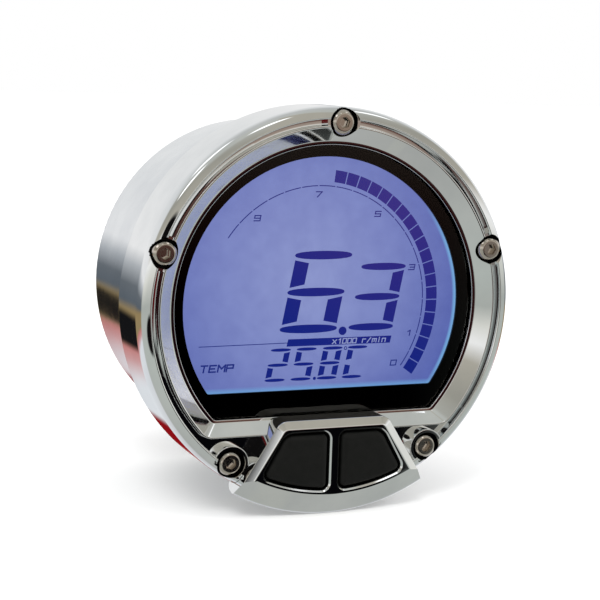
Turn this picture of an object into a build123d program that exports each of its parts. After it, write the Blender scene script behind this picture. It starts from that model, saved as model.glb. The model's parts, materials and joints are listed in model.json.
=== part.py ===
from build123d import *
import os

# Round LCD tachometer and thermometer for a motorcycle: a chrome can with a screwed front bezel,
# a flat-bottomed display window and two push buttons in a raised surround under it.
#
# Frame: +Z is up, +X is the rider's right and the dial faces -Y. The origin is the centre of the
# flat rear face. "Height" below is the distance in front of that face, so height h lies at y = -h.

# ---------------------------------------------------------------- driving dimensions, in mm
BEZEL_R = 31.0            # outside radius of the front bezel
BARREL_R = 27.5           # outside radius of the can, where a clamp ring grips it
CREST = 39.0              # height of the bezel's rounded crest
LAND = 37.2               # height of the flat land that the groove and the surround stand on
SHELL_FRONT = 35.2        # height of the can's front face, under the bezel
SKIRT_BACK = 27.3         # height of the bezel's rear edge
BOARD_BACK = 27.0         # height of the ledge that carries the display board
BOARD_T = 1.6             # thickness of both circuit boards
LEDGE_R = 22.9            # inside radius of that ledge
CAVITY_R = 26.4           # inside radius of the can in front of the ledge
BORE_R = 25.9             # inside radius of the can behind the ledge

WINDOW_R = 25.1           # round part of the window in the bezel
WINDOW_CHORD = -17.1      # its straight lower edge
APERTURE_R = 23.2         # round part of the lit area
APERTURE_CHORD = -13.4    # its straight lower edge

LENS_T = 1.5
GASKET_T = 0.4
LENS_SEAT = 36.5          # height of the underside of the window lip
GLASS_T = 1.1             # each glass of the display
FILM_T = 0.2              # polarisers, diffuser and reflector

SCREW_PITCH_R = 28.6      # pitch radius of the five bezel screws
UPPER_SCREW_ANGLES = (18, 88.5, 162)    # degrees from +X, seen from the front
LOWER_SCREW_ANGLES = (235.6, 306.6)
SCREW_POCKET_R = 2.25
SCREW_HEAD_R = 1.95
SCREW_HEAD_H = 1.7
SCREW_POCKET_DEPTH = 2.0
SCREW_SHANK_R = 1.0
SCREW_LENGTH = 5.5
SOCKET_ACROSS = 1.5       # hexagon socket, across its flats

SURROUND_TOP = 41.2       # height of the flat round the button openings
SURROUND_CHIN_R = 32.4    # lowest reach of the chin
SURROUND_HEAD_X = 9.0     # half width of the surround at its head
SURROUND_HEAD_Z = -17.0
SURROUND_FOOT_X = 19.0    # half width at its foot, before the chin rounds it off
SURROUND_FOOT_Z = -32.9
SURROUND_CORNER_R = 2.2

OPENING_INNER_X = 0.9     # edge of each button opening beside the middle bar
OPENING_HEAD_X = 8.2      # its outer corner at the head
OPENING_HEAD_Z = -19.0
OPENING_FOOT_X = 13.7     # its outer corner at the foot
OPENING_FOOT_Z = -28.8
OPENING_R = 28.2          # arc that rounds off its foot
OPENING_CORNER_R = 1.1
OPENING_SHOULDER_R = 2.3  # its outer corner at the head is rounder

BUTTON_TOP = 41.4
BUTTON_TRAVEL = 0.8
BUTTON_GAP = 0.3          # rubber to chrome, all round
BUTTON_ROUND = 0.7        # rounding of the rubber's front edges
FLANGE_GROW = 0.45        # how far the button's flange reaches past its opening
FLANGE_HEAD_Z = -19.3     # the flange stops short of the window here
TACT_X = 5.0              # centre of each switch, left and right
TACT_Z = -21.9

COVER_R = 26.2
COVER_T = 3.0
STUD_SPACING = 30.0
STUD_R = 2.5
STUD_SHOULDER_R = 2.7     # knurled shoulder pressed into the cover
STUD_REACH = 14.0         # how far the studs stand out behind the rear face
GLAND_Z = -13.0
GLAND_BORE_R = 2.6


FIT = 0.05                # gap between pieces that fit closely
SCREW_CLEARANCE = 0.1     # added to a screw's radius where it passes through
CUT = 40.0                # longer than any outline, for rectangles that only cut


def front(height):
    """Drawing plane that faces the rider, at a height in front of the rear face."""
    return Plane(origin=(0, -height, 0), x_dir=(1, 0, 0), z_dir=(0, -1, 0))


def section(axis_z=0.0):
    """Half section through an axis along Y: x is the radius and y is the height."""
    return Plane(origin=(0, 0, axis_z), x_dir=(1, 0, 0), z_dir=(0, 0, -1))


def d_shape(radius, chord, corner=0.0):
    """Circle cut off flat along a horizontal chord, with rounded corners."""
    with BuildSketch() as outline:
        Circle(radius)
        with Locations((0, chord)):
            Rectangle(2 * radius, 2 * radius, align=(Align.CENTER, Align.MAX), mode=Mode.SUBTRACT)
        if corner > 0:
            fillet(outline.vertices(), corner)
    return outline.sketch


def d_ring(outer, inner):
    """Flat ring between two D shapes."""
    with BuildSketch() as outline:
        add(outer)
        add(inner, mode=Mode.SUBTRACT)
    return outline.sketch


def surround_outline(grow=0.0):
    """Front view of the button surround: a trapezium whose foot follows the chin."""
    with BuildSketch() as outline:
        with BuildLine():
            Polyline(
                (-SURROUND_HEAD_X, SURROUND_HEAD_Z),
                (SURROUND_HEAD_X, SURROUND_HEAD_Z),
                (SURROUND_FOOT_X, SURROUND_FOOT_Z),
                (-SURROUND_FOOT_X, SURROUND_FOOT_Z),
                close=True,
            )
        make_face()
        Circle(SURROUND_CHIN_R, mode=Mode.INTERSECT)
        fillet(outline.vertices().group_by(Axis.Y)[-1], SURROUND_CORNER_R)
        if grow:
            offset(amount=grow)
    return outline.sketch


def button_opening(side, grow=0.0):
    """Front view of one button opening. side is -1 for the left one and 1 for the right."""
    with BuildSketch() as outline:
        with BuildLine():
            Polyline(
                (OPENING_INNER_X * side, OPENING_HEAD_Z),
                (OPENING_HEAD_X * side, OPENING_HEAD_Z),
                (OPENING_FOOT_X * side, OPENING_FOOT_Z),
                (OPENING_INNER_X * side, OPENING_FOOT_Z),
                close=True,
            )
        make_face()
        Circle(OPENING_R, mode=Mode.INTERSECT)
        shoulder = (OPENING_HEAD_X * side, OPENING_HEAD_Z)
        fillet(outline.vertices().sort_by_distance(shoulder)[1:], OPENING_CORNER_R)
        fillet(outline.vertices().sort_by_distance(shoulder)[0], OPENING_SHOULDER_R)
        if grow:
            offset(amount=grow)
    return outline.sketch


def below(outline, limit):
    """Part of an outline that lies under a horizontal line."""
    with BuildSketch() as kept:
        add(outline)
        with Locations((0, limit)):
            Rectangle(2 * CUT, CUT, align=(Align.CENTER, Align.MAX), mode=Mode.INTERSECT)
    return kept.sketch


def polar_points(radius, angles):
    """Centres at the given angles, in degrees from +X, on a circle in a front() plane."""
    points = []
    for angle in angles:
        point = Vector(radius, 0, 0).rotate(Axis.Z, angle)
        points.append((point.X, point.Y))
    return points


UPPER_SCREWS = polar_points(SCREW_PITCH_R, UPPER_SCREW_ANGLES)
LOWER_SCREWS = polar_points(SCREW_PITCH_R, LOWER_SCREW_ANGLES)
BEZEL_SCREWS = UPPER_SCREWS + LOWER_SCREWS

# Outlines round the window, from the inside out: radius, straight lower edge, corner rounding.
WINDOW = d_shape(WINDOW_R, WINDOW_CHORD, 0.8)
FUNNEL_FOOT = d_shape(25.7, -17.55, 1.0)
FUNNEL_TOP = d_shape(27.9, -19.3, 2.5)
BAND = d_shape(28.2, -19.5, 2.7)
APERTURE = d_shape(APERTURE_R, APERTURE_CHORD, 0.6)
LENS_OUTLINE = d_shape(26.2, -18.2, 1.0)
LENS_RECESS = d_shape(26.4, -18.4, 1.0)
SURROUND = surround_outline()
SURROUND_RECESS = surround_outline(FIT)
SIDES = {"left": -1, "right": 1}


def save(builder, name):
    """Labels a finished piece and writes its STEP file."""
    builder.part.label = name
    export_step(builder.part, f"parts/{name}.step")


os.makedirs("parts", exist_ok=True)


# ---------------------------------------------------------------- front bezel
FUNNEL_FOOT_H = 36.9
BAND_TOP = 38.9
SKIRT_IN_R = 30.0
SKIRT_CHAMFER = 0.25
CREST_FOOT = 37.3         # height at which the side starts to round over into the crest
CREST_R = 29.25           # radius at which the crest is highest, beside the groove
GROOVE_OUT_R = 29.05      # foot of the groove's outer wall
PAD_R = 2.8               # filled patches beside the upper screws
PAD_IN_R = 27.9
PAD_OUT_R = 29.4
PAD_TOP = 38.5
BOSS_R = 2.85             # ring bosses round the lower screws
BOSS_OUT_R = 30.2
BOSS_TOP = CREST - 0.15

with BuildPart() as bezel:
    with BuildSketch(section()):
        with BuildLine():
            Polyline(
                (CREST_R, CREST),
                (29.1, 38.85),
                (GROOVE_OUT_R, LAND),
                (0, LAND),
                (0, SHELL_FRONT),
                (SKIRT_IN_R, SHELL_FRONT),
                (SKIRT_IN_R, SKIRT_BACK),
                (BEZEL_R - SKIRT_CHAMFER, SKIRT_BACK),
                (BEZEL_R, SKIRT_BACK + SKIRT_CHAMFER),
                (BEZEL_R, CREST_FOOT),
            )
            ThreePointArc((BEZEL_R, CREST_FOOT), (30.57, 38.4), (CREST_R, CREST))
        make_face()
    revolve(axis=Axis.Y)
    # The raised band round the window, with its funnel down to a narrow flat lip.
    with BuildSketch(front(LAND)):
        add(BAND)
    extrude(amount=BAND_TOP - LAND)
    with BuildSketch(front(FUNNEL_FOOT_H)):
        add(FUNNEL_FOOT)
    with BuildSketch(front(BAND_TOP)):
        add(FUNNEL_TOP)
    loft(mode=Mode.SUBTRACT)
    with BuildSketch(front(SHELL_FRONT)):
        add(WINDOW)
    extrude(amount=BAND_TOP - SHELL_FRONT, mode=Mode.SUBTRACT)
    with BuildSketch(front(SHELL_FRONT)):
        add(LENS_RECESS)
    extrude(amount=LENS_SEAT - SHELL_FRONT, mode=Mode.SUBTRACT)
    # The groove is filled beside the three upper screws, and the two lower ones have ring bosses.
    with BuildSketch(front(LAND)):
        with Locations(*UPPER_SCREWS):
            Circle(PAD_R)
        Circle(PAD_OUT_R, mode=Mode.INTERSECT)
        Circle(PAD_IN_R, mode=Mode.SUBTRACT)
    extrude(amount=PAD_TOP - LAND)
    with BuildSketch(front(LAND)):
        with Locations(*LOWER_SCREWS):
            Circle(BOSS_R)
        Circle(BOSS_OUT_R, mode=Mode.INTERSECT)
    extrude(amount=BOSS_TOP - LAND)
    with Locations(front(CREST)):
        with Locations(*BEZEL_SCREWS):
            CounterBoreHole(
                radius=SCREW_SHANK_R + SCREW_CLEARANCE,
                counter_bore_radius=SCREW_POCKET_R,
                counter_bore_depth=SCREW_POCKET_DEPTH,
                depth=CREST - SHELL_FRONT,
            )
    # Seat for the button surround, and the openings that the buttons pass through.
    with BuildSketch(front(LAND)):
        add(SURROUND_RECESS)
    extrude(amount=CREST - LAND + 1, mode=Mode.SUBTRACT)
    for side in SIDES.values():
        with BuildSketch(front(SHELL_FRONT)):
            add(below(button_opening(side, FLANGE_GROW + 0.5), FLANGE_HEAD_Z + 0.4))
        extrude(amount=LAND - SHELL_FRONT, mode=Mode.SUBTRACT)
save(bezel, "bezel")

# ---------------------------------------------------------------- button surround with its chin
BEVEL_DROP = 0.5
BEVEL_WIDTH = 1.2
CHIN_BACK = 36.0          # height of the chin's rear edge, under its overhang
CHIN_IN_R = BEZEL_R + FIT
RIM_CHAMFER = 0.2

with BuildPart() as button_surround:
    with BuildSketch(front(CHIN_BACK)):
        add(SURROUND)
    extrude(amount=SURROUND_TOP - BEVEL_DROP - CHIN_BACK)
    with BuildSketch(front(SURROUND_TOP - BEVEL_DROP)):
        add(SURROUND)
    with BuildSketch(front(SURROUND_TOP)):
        add(surround_outline(-BEVEL_WIDTH))
    loft()
    # The chin slopes down from the openings and overhangs the side of the bezel.
    with BuildSketch(section()):
        with BuildLine():
            Polyline(
                (0, LAND),
                (0, SURROUND_TOP),
                (29.0, SURROUND_TOP),
                (32.2, 39.5),
                (SURROUND_CHIN_R, 39.1),
                (32.1, 37.2),
                (CHIN_IN_R + 0.3, CHIN_BACK),
                (CHIN_IN_R, CHIN_BACK),
                (CHIN_IN_R, LAND),
                close=True,
            )
        make_face()
    revolve(axis=Axis.Y, mode=Mode.INTERSECT)
    for side in SIDES.values():
        with BuildSketch(front(LAND)):
            add(button_opening(side))
        extrude(amount=SURROUND_TOP - LAND, mode=Mode.SUBTRACT)
    front_face = button_surround.faces().sort_by(Axis.Y)[0]
    chamfer(front_face.inner_wires().edges(), RIM_CHAMFER)
save(button_surround, "button_surround")

# ---------------------------------------------------------------- bezel screws
HEAD_CHAMFER = 0.4
HEAD_SEAT = CREST - SCREW_POCKET_DEPTH
SOCKET_DEPTH = 1.0

with BuildPart() as bezel_screws:
    with BuildSketch(front(HEAD_SEAT)):
        with Locations(*BEZEL_SCREWS):
            Circle(SCREW_HEAD_R)
    extrude(amount=SCREW_HEAD_H)
    chamfer(bezel_screws.faces().group_by(Axis.Y)[0].edges(), HEAD_CHAMFER)
    with BuildSketch(front(HEAD_SEAT + SCREW_HEAD_H)):
        with Locations(*BEZEL_SCREWS):
            RegularPolygon(SOCKET_ACROSS / 2, 6, major_radius=False)
    extrude(amount=-SOCKET_DEPTH, mode=Mode.SUBTRACT)
    with BuildSketch(front(HEAD_SEAT)):
        with Locations(*BEZEL_SCREWS):
            Circle(SCREW_SHANK_R)
    extrude(amount=-SCREW_LENGTH)
save(bezel_screws, "bezel_screws")

# ---------------------------------------------------------------- can
FLANGE_R = 29.9
ORING_H = 29.1            # height of the seal groove round the flange
ORING_GROOVE_W = 0.9
ORING_GROOVE_DEEP = 0.8
ORING_WIRE_R = 0.4
EDGE_ROUND = 0.8          # rounding of the can's rear edge
COVER_LEDGE_H = 3.4       # height of the rear ledge that the cover seats on
COVER_LEDGE_IN_R = 22.8
BOARD_SCREW_R = 24.6
BOARD_SCREW_ANGLES = (30, 150, 270)
COVER_SCREW_R = 23.9
COVER_SCREW_ANGLES = (90, 210, 330)
SPACER_R = 18.0           # pitch radius of the spacers that carry the power board


BOARD_SCREW_POINTS = polar_points(BOARD_SCREW_R, BOARD_SCREW_ANGLES)
COVER_SCREW_POINTS = polar_points(COVER_SCREW_R, COVER_SCREW_ANGLES)
SPACER_POINTS = polar_points(SPACER_R, COVER_SCREW_ANGLES)
COVER_HOLE_R = COVER_R + 0.1

with BuildPart() as rear_housing:
    with BuildSketch(section()):
        with BuildLine():
            Polyline(
                (BARREL_R, EDGE_ROUND),
                (BARREL_R, SKIRT_BACK + 0.1),
                (FLANGE_R, SKIRT_BACK + 0.3),
                (FLANGE_R, ORING_H - ORING_GROOVE_W / 2),
                (FLANGE_R - ORING_GROOVE_DEEP, ORING_H - ORING_GROOVE_W / 2),
                (FLANGE_R - ORING_GROOVE_DEEP, ORING_H + ORING_GROOVE_W / 2),
                (FLANGE_R, ORING_H + ORING_GROOVE_W / 2),
                (FLANGE_R, SHELL_FRONT),
                (CAVITY_R, SHELL_FRONT),
                (CAVITY_R, BOARD_BACK),
                (LEDGE_R, BOARD_BACK),
                (LEDGE_R, BOARD_BACK - 1.8),
                (BORE_R, BOARD_BACK - 4.0),
                (BORE_R, COVER_LEDGE_H + 4.4),
                (COVER_LEDGE_IN_R, COVER_LEDGE_H + 2.6),
                (COVER_LEDGE_IN_R, COVER_LEDGE_H),
                (COVER_HOLE_R, COVER_LEDGE_H),
                (COVER_HOLE_R, 0),
                (BARREL_R - EDGE_ROUND, 0),
            )
            RadiusArc((BARREL_R - EDGE_ROUND, 0), (BARREL_R, EDGE_ROUND), -EDGE_ROUND)
        make_face()
    revolve(axis=Axis.Y)
    with Locations(front(SHELL_FRONT)):
        with Locations(*BEZEL_SCREWS):
            Hole(radius=SCREW_SHANK_R, depth=SCREW_LENGTH - 1.0)
    with Locations(front(BOARD_BACK)):
        with Locations(*BOARD_SCREW_POINTS):
            Hole(radius=0.8, depth=3.0)
    with BuildSketch(front(COVER_LEDGE_H)):
        with Locations(*COVER_SCREW_POINTS):
            Circle(SCREW_SHANK_R)
    extrude(amount=4.0, mode=Mode.SUBTRACT)
save(rear_housing, "rear_housing")

with BuildPart() as bezel_oring:
    with BuildSketch(section()):
        with Locations((FLANGE_R - 0.35, ORING_H)):
            Circle(ORING_WIRE_R)
    revolve(axis=Axis.Y)
save(bezel_oring, "bezel_oring")

# ---------------------------------------------------------------- window stack, front to back
LENS_FRONT = LENS_SEAT - GASKET_T
LENS_BACK = LENS_FRONT - LENS_T
MASK_T = 0.3
MASK_BACK = LENS_BACK - MASK_T
HOLDER_BACK = BOARD_BACK + BOARD_T

with BuildPart() as lens_gasket:
    with BuildSketch(front(LENS_FRONT)):
        add(d_ring(LENS_OUTLINE, d_shape(25.5, -17.5, 0.9)))
    extrude(amount=GASKET_T)
save(lens_gasket, "lens_gasket")

with BuildPart() as lens:
    with BuildSketch(front(LENS_BACK)):
        add(LENS_OUTLINE)
    extrude(amount=LENS_T)
save(lens, "lens")

with BuildPart() as dial_mask:
    with BuildSketch(front(MASK_BACK)):
        add(d_ring(LENS_OUTLINE, APERTURE))
    extrude(amount=MASK_T)
save(dial_mask, "dial_mask")

FRONT_FILM_OUTLINE = d_shape(24.4, -15.2, 0.6)
REAR_FILM_OUTLINE = d_shape(24.0, -14.3, 0.6)
FRONT_GLASS_OUTLINE = d_shape(24.6, -15.5, 0.6)
REAR_GLASS_OUTLINE = d_shape(24.6, -17.2, 0.6)
GUIDE_OUTLINE = d_shape(23.9, -14.2, 0.6)
GUIDE_T = 2.6
NOTCH_R = 1.8             # room round the heads of the board screws

# Name, outline and thickness of each sheet behind the mask, in order from the front.
DISPLAY_STACK = (
    ("lcd_front_polariser", FRONT_FILM_OUTLINE, FILM_T),
    ("lcd_front_glass", FRONT_GLASS_OUTLINE, GLASS_T),
    ("lcd_rear_glass", REAR_GLASS_OUTLINE, GLASS_T),
    ("lcd_rear_polariser", REAR_FILM_OUTLINE, FILM_T),
    ("diffuser_film", REAR_FILM_OUTLINE, FILM_T),
    ("light_guide", GUIDE_OUTLINE, GUIDE_T),
    ("reflector_film", GUIDE_OUTLINE, FILM_T),
)
NOTCHED = ("light_guide", "reflector_film")
REAR_GLASS_BACK = MASK_BACK - FILM_T - 2 * GLASS_T

sheet_front = MASK_BACK
for sheet_name, sheet_outline, sheet_thickness in DISPLAY_STACK:
    sheet_front = sheet_front - sheet_thickness
    with BuildPart() as sheet:
        with BuildSketch(front(sheet_front)):
            add(sheet_outline)
            if sheet_name in NOTCHED:
                with Locations(*BOARD_SCREW_POINTS):
                    Circle(NOTCH_R, mode=Mode.SUBTRACT)
        extrude(amount=sheet_thickness)
    save(sheet, sheet_name)

with BuildPart() as lcd_holder:
    with BuildSketch(front(HOLDER_BACK)):
        add(d_ring(d_shape(26.1, -18.3, 1.0), d_shape(24.8, -17.4, 0.8)))
    extrude(amount=MASK_BACK - HOLDER_BACK)
    with BuildSketch(front(HOLDER_BACK)):
        with Locations(*BOARD_SCREW_POINTS):
            Circle(NOTCH_R)
    extrude(amount=1.4, mode=Mode.SUBTRACT)
save(lcd_holder, "lcd_holder")

with BuildPart() as zebra_strip:
    with BuildSketch(front(HOLDER_BACK)):
        with Locations((0, -16.5)):
            Rectangle(26, 1.4)
    extrude(amount=REAR_GLASS_BACK - HOLDER_BACK)
save(zebra_strip, "zebra_strip")

# ---------------------------------------------------------------- display board and its parts
with BuildPart() as display_board:
    with BuildSketch(front(BOARD_BACK)):
        Circle(26.1)
        with Locations(*BOARD_SCREW_POINTS):
            Circle(0.95, mode=Mode.SUBTRACT)
    extrude(amount=BOARD_T)
save(display_board, "display_board")

with BuildPart() as backlight_leds:
    with BuildSketch(front(HOLDER_BACK)):
        with Locations((0, -15.0)):
            with GridLocations(7, 0, 4, 1):
                Rectangle(2.8, 1.0)
    extrude(amount=1.6)
save(backlight_leds, "backlight_leds")

with BuildPart() as board_screws:
    with BuildSketch(front(HOLDER_BACK)):
        with Locations(*BOARD_SCREW_POINTS):
            Circle(1.5)
    extrude(amount=1.0)
    with BuildSketch(front(HOLDER_BACK)):
        with Locations(*BOARD_SCREW_POINTS):
            Circle(0.75)
    extrude(amount=-(BOARD_T + 2.6))
    with BuildSketch(front(HOLDER_BACK + 1.0)):
        with Locations(*BOARD_SCREW_POINTS):
            Rectangle(1.8, 0.4)
            Rectangle(0.4, 1.8)
    extrude(amount=-0.5, mode=Mode.SUBTRACT)
save(board_screws, "board_screws")

with BuildPart() as microcontroller:
    with BuildSketch(front(BOARD_BACK)):
        with Locations((0, 5)):
            Rectangle(10, 10)
    extrude(amount=-1.4)
    chamfer(microcontroller.edges().filter_by(Axis.Y), 0.5)
save(microcontroller, "microcontroller")

with BuildPart() as crystal:
    with BuildSketch(front(BOARD_BACK)):
        with Locations((0, -4)):
            SlotOverall(11, 4.6)
    extrude(amount=-3.5)
save(crystal, "crystal")

# ---------------------------------------------------------------- buttons and their switches
TACT_BODY = 4.5
TACT_BODY_H = 3.0
PLUNGER_TOP = 34.0
PLUNGER_R = 1.2
PLUNGER_IN = 1.0          # length of plunger inside the switch body at rest
FLANGE_TOP = LAND - FIT
FLANGE_T = 1.0
STEM_R = 1.6

with BuildPart() as tact_switch_bodies:
    with BuildSketch(front(HOLDER_BACK)):
        with Locations((-TACT_X, TACT_Z), (TACT_X, TACT_Z)):
            Rectangle(TACT_BODY, TACT_BODY)
    extrude(amount=TACT_BODY_H)
    chamfer(tact_switch_bodies.edges().filter_by(Axis.Y), 0.4)
    with BuildSketch(front(HOLDER_BACK + TACT_BODY_H)):
        with Locations((-TACT_X, TACT_Z), (TACT_X, TACT_Z)):
            Circle(PLUNGER_R + FIT)
    extrude(amount=-(PLUNGER_IN + BUTTON_TRAVEL + 0.2), mode=Mode.SUBTRACT)
save(tact_switch_bodies, "tact_switch_bodies")

for side_name, side in SIDES.items():
    with BuildPart() as plunger:
        with BuildSketch(front(HOLDER_BACK + TACT_BODY_H - PLUNGER_IN)):
            with Locations((side * TACT_X, TACT_Z)):
                Circle(PLUNGER_R)
        extrude(amount=PLUNGER_TOP - HOLDER_BACK - TACT_BODY_H + PLUNGER_IN)
    save(plunger, f"{side_name}_plunger")

    with BuildPart() as button:
        with BuildSketch(front(FLANGE_TOP - FLANGE_T)):
            add(below(button_opening(side, FLANGE_GROW), FLANGE_HEAD_Z))
        extrude(amount=FLANGE_T)
        with BuildSketch(front(FLANGE_TOP)):
            add(button_opening(side, -BUTTON_GAP))
        extrude(amount=BUTTON_TOP - FLANGE_TOP)
        fillet(button.faces().sort_by(Axis.Y)[0].edges(), BUTTON_ROUND)
        with BuildSketch(front(FLANGE_TOP - FLANGE_T)):
            with Locations((side * TACT_X, TACT_Z)):
                Circle(STEM_R)
        extrude(amount=PLUNGER_TOP - FLANGE_TOP + FLANGE_T)
    save(button, f"{side_name}_button")

# ---------------------------------------------------------------- power board behind the display
POWER_FRONT = 13.6
POWER_BACK = POWER_FRONT - BOARD_T

with BuildPart() as board_spacers:
    with BuildSketch(front(POWER_FRONT)):
        with Locations(*SPACER_POINTS):
            RegularPolygon(2.5, 6)
    extrude(amount=BOARD_BACK - POWER_FRONT)
    with BuildSketch(front(POWER_FRONT)):
        with Locations(*SPACER_POINTS):
            Circle(1.0)
    extrude(amount=6.0, mode=Mode.SUBTRACT)
save(board_spacers, "board_spacers")

with BuildPart() as power_board:
    with BuildSketch(front(POWER_BACK)):
        Circle(21.0)
        with Locations(*SPACER_POINTS):
            Circle(1.15, mode=Mode.SUBTRACT)
    extrude(amount=BOARD_T)
save(power_board, "power_board")

with BuildPart() as power_board_screws:
    with BuildSketch(front(POWER_BACK)):
        with Locations(*SPACER_POINTS):
            Circle(1.9)
    extrude(amount=-1.3)
    with BuildSketch(front(POWER_BACK)):
        with Locations(*SPACER_POINTS):
            Circle(0.95)
    extrude(amount=BOARD_T + 4.5)
save(power_board_screws, "power_board_screws")

with BuildPart() as board_link_header:
    with BuildSketch(front(POWER_FRONT)):
        with Locations((0, -12)):
            Rectangle(15.2, 2.5)
    extrude(amount=2.5)
    with BuildSketch(front(POWER_FRONT + 2.5)):
        with Locations((0, -12)):
            with GridLocations(2.54, 0, 6, 1):
                Rectangle(0.64, 0.64)
    extrude(amount=BOARD_BACK - POWER_FRONT - 2.5)
save(board_link_header, "board_link_header")

with BuildPart() as capacitors:
    with BuildSketch(front(POWER_FRONT)):
        with Locations((-9.5, 3), (9.5, 3)):
            Circle(4.0)
    extrude(amount=10.0)
    fillet(capacitors.faces().group_by(Axis.Y)[0].edges(), 0.5)
save(capacitors, "capacitors")

with BuildPart() as voltage_regulator:
    with BuildSketch(front(POWER_BACK)):
        with Locations((-8, 5)):
            Rectangle(6.6, 6.1)
    extrude(amount=-2.3)
save(voltage_regulator, "voltage_regulator")

with BuildPart() as wire_header:
    with BuildSketch(front(POWER_BACK)):
        with Locations((4, -2)):
            Rectangle(14.9, 5.8)
    extrude(amount=-6.0)
    with BuildSketch(front(POWER_BACK - 6.0)):
        with Locations((4, -2)):
            Rectangle(13.5, 4.4)
    extrude(amount=5.0, mode=Mode.SUBTRACT)
    with BuildSketch(front(POWER_BACK - 1.0)):
        with Locations((4, -2)):
            with GridLocations(2.0, 0, 6, 1):
                Rectangle(0.5, 0.5)
    extrude(amount=-4.0)
save(wire_header, "wire_header")

# ---------------------------------------------------------------- rear cover, seal and fixings
GROMMET_R = 4.0
GROMMET_FLANGE_R = 5.4
GROMMET_FLANGE_T = 1.2
GROMMET_SINK = 0.1        # how far the grommet's flange lies in from the rear face
COVER_SCREW_SINK = 1.6
COVER_SCREW_HOLE_R = 1.15
COVER_SCREW_POCKET_R = 2.2
COVER_SCREW_HEAD_R = 1.9
COVER_SCREW_HEAD_H = 1.3
COVER_GROOVE_R = 20.2     # middle of the shallow ring groove moulded into the cover's back
COVER_GROOVE_W = 0.8

with BuildPart() as rear_cover:
    with BuildSketch(front(0)):
        Circle(COVER_R)
        with Locations((-STUD_SPACING / 2, 0), (STUD_SPACING / 2, 0)):
            Circle(STUD_SHOULDER_R + FIT, mode=Mode.SUBTRACT)
        with Locations((0, GLAND_Z)):
            Circle(GROMMET_R, mode=Mode.SUBTRACT)
        with Locations(*COVER_SCREW_POINTS):
            Circle(COVER_SCREW_HOLE_R, mode=Mode.SUBTRACT)
    extrude(amount=COVER_T)
    with BuildSketch(front(0)):
        with Locations((0, GLAND_Z)):
            Circle(GROMMET_FLANGE_R + 0.1)
    extrude(amount=GROMMET_FLANGE_T + GROMMET_SINK, mode=Mode.SUBTRACT)
    with BuildSketch(front(0)):
        with Locations(*COVER_SCREW_POINTS):
            Circle(COVER_SCREW_POCKET_R)
    extrude(amount=COVER_SCREW_SINK, mode=Mode.SUBTRACT)
    with BuildSketch(front(0)):
        Circle(COVER_GROOVE_R + COVER_GROOVE_W / 2)
        Circle(COVER_GROOVE_R - COVER_GROOVE_W / 2, mode=Mode.SUBTRACT)
    extrude(amount=0.5, mode=Mode.SUBTRACT)
save(rear_cover, "rear_cover")

with BuildPart() as rear_cover_seal:
    with BuildSketch(front(COVER_T)):
        Circle(BORE_R)
        Circle(25.1, mode=Mode.SUBTRACT)
    extrude(amount=COVER_LEDGE_H - COVER_T)
save(rear_cover_seal, "rear_cover_seal")

with BuildPart() as rear_cover_screws:
    with BuildSketch(front(COVER_SCREW_SINK)):
        with Locations(*COVER_SCREW_POINTS):
            Circle(COVER_SCREW_HEAD_R)
    extrude(amount=-COVER_SCREW_HEAD_H)
    with BuildSketch(front(COVER_SCREW_SINK)):
        with Locations(*COVER_SCREW_POINTS):
            Circle(0.95)
    extrude(amount=5.0)
    with BuildSketch(front(COVER_SCREW_SINK - COVER_SCREW_HEAD_H)):
        with Locations(*COVER_SCREW_POINTS):
            Rectangle(2.4, 0.5)
            Rectangle(0.5, 2.4)
    extrude(amount=0.7, mode=Mode.SUBTRACT)
save(rear_cover_screws, "rear_cover_screws")

with BuildPart() as mounting_studs:
    with BuildSketch(front(COVER_T)):
        with Locations((-STUD_SPACING / 2, 0), (STUD_SPACING / 2, 0)):
            RegularPolygon(4.0, 6, major_radius=False)
    extrude(amount=2.6)
    with BuildSketch(front(COVER_T)):
        with Locations((-STUD_SPACING / 2, 0), (STUD_SPACING / 2, 0)):
            Circle(STUD_SHOULDER_R)
    extrude(amount=-COVER_T)
    with BuildSketch(front(0)):
        with Locations((-STUD_SPACING / 2, 0), (STUD_SPACING / 2, 0)):
            Circle(STUD_R)
    extrude(amount=-STUD_REACH)
    chamfer(mounting_studs.faces().group_by(Axis.Y)[-1].edges(), 0.5)
save(mounting_studs, "mounting_studs")

with BuildPart() as cable_grommet:
    with BuildSketch(section(GLAND_Z)):
        with BuildLine():
            Polyline(
                (GLAND_BORE_R, GROMMET_SINK),
                (GROMMET_FLANGE_R, GROMMET_SINK),
                (GROMMET_FLANGE_R, GROMMET_FLANGE_T + GROMMET_SINK),
                (GROMMET_R - FIT, GROMMET_FLANGE_T + GROMMET_SINK),
                (GROMMET_R - FIT, COVER_T),
                (GROMMET_FLANGE_R - 0.6, COVER_T),
                (GROMMET_FLANGE_R - 1.0, COVER_T + 1.2),
                (GLAND_BORE_R, COVER_T + 1.2),
                close=True,
            )
        make_face()
    revolve(axis=Axis((0, 0, GLAND_Z), (0, 1, 0)))
save(cable_grommet, "cable_grommet")
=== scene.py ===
import json
import math

import bmesh
import bpy
from mathutils import Matrix, Vector

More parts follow.
